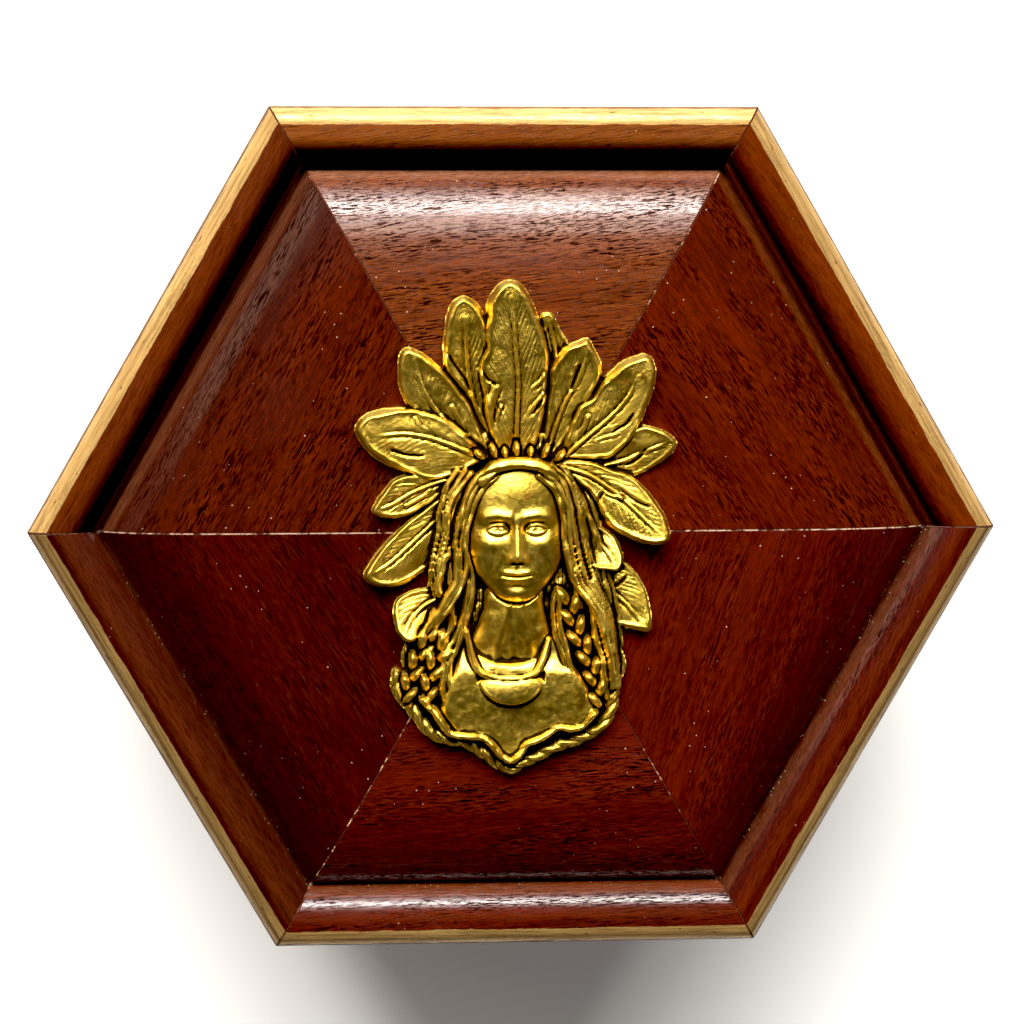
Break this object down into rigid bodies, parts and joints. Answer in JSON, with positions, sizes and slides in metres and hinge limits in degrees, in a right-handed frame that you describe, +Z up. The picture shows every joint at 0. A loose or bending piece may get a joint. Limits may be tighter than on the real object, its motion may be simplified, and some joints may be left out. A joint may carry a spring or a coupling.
{
  "type": "hinged display box",
  "caption": "Hexagonal mahogany display box with a hinged raised-panel lid, gold-painted edge and a gilt feather-bonnet relief.",
  "frame": {"origin": "middle of the underside, on the surface the box stands on", "axes": "+X to the right along the longest corner-to-corner width, +Y to the rear flat side with the hinges, +Z up"},
  "size_m": [0.15, 0.13, 0.0694],
  "materials": {
    "mahogany": "gloss lacquer over dark red mahogany, gold-painted outer edge on the lid",
    "plain_board": "plain sanded board",
    "velvet": "short-pile velvet",
    "baize": "pressed felt",
    "brass": "satin",
    "gilt": "bright gilt with dark patina in the hollows"
  },
  "bodies": {
    "root": {"case_side_rear": "mahogany", "wall_lining_rear": "velvet", "case_side_rear_left": "mahogany", "wall_lining_rear_left": "velvet", "case_side_front_left": "mahogany", "wall_lining_front_left": "velvet", "case_side_front": "mahogany", "wall_lining_front": "velvet", "case_side_front_right": "mahogany", "wall_lining_front_right": "velvet", "case_side_rear_right": "mahogany", "wall_lining_rear_right": "velvet", "case_bottom": "plain_board", "floor_pad": "velvet", "base_baize": "baize", "hinge_left_case_leaf": "brass", "hinge_left_pin": "brass", "hinge_left_case_screw_1": "brass", "hinge_left_case_screw_2": "brass", "hinge_right_case_leaf": "brass", "hinge_right_pin": "brass", "hinge_right_case_screw_1": "brass", "hinge_right_case_screw_2": "brass"},
    "lid": {"lid_wedge_rear": "mahogany", "lid_wedge_rear_left": "mahogany", "lid_wedge_front_left": "mahogany", "lid_wedge_front": "mahogany", "lid_wedge_front_right": "mahogany", "lid_wedge_rear_right": "mahogany", "ornament": "gilt", "lid_backing_board": "plain_board", "lid_lining": "velvet", "hinge_left_lid_leaf": "brass", "hinge_left_lid_screw_1": "brass", "hinge_left_lid_screw_2": "brass", "hinge_right_lid_leaf": "brass", "hinge_right_lid_screw_1": "brass", "hinge_right_lid_screw_2": "brass"}
  },
  "joints": [
    {"name": "lid_hinge", "type": "hinge", "parent": "root", "child": "lid", "pos_m": [0, 0.0617, 0.04805], "axis": [-1, 0, 0], "range_deg": [0, 108]}
  ]
}
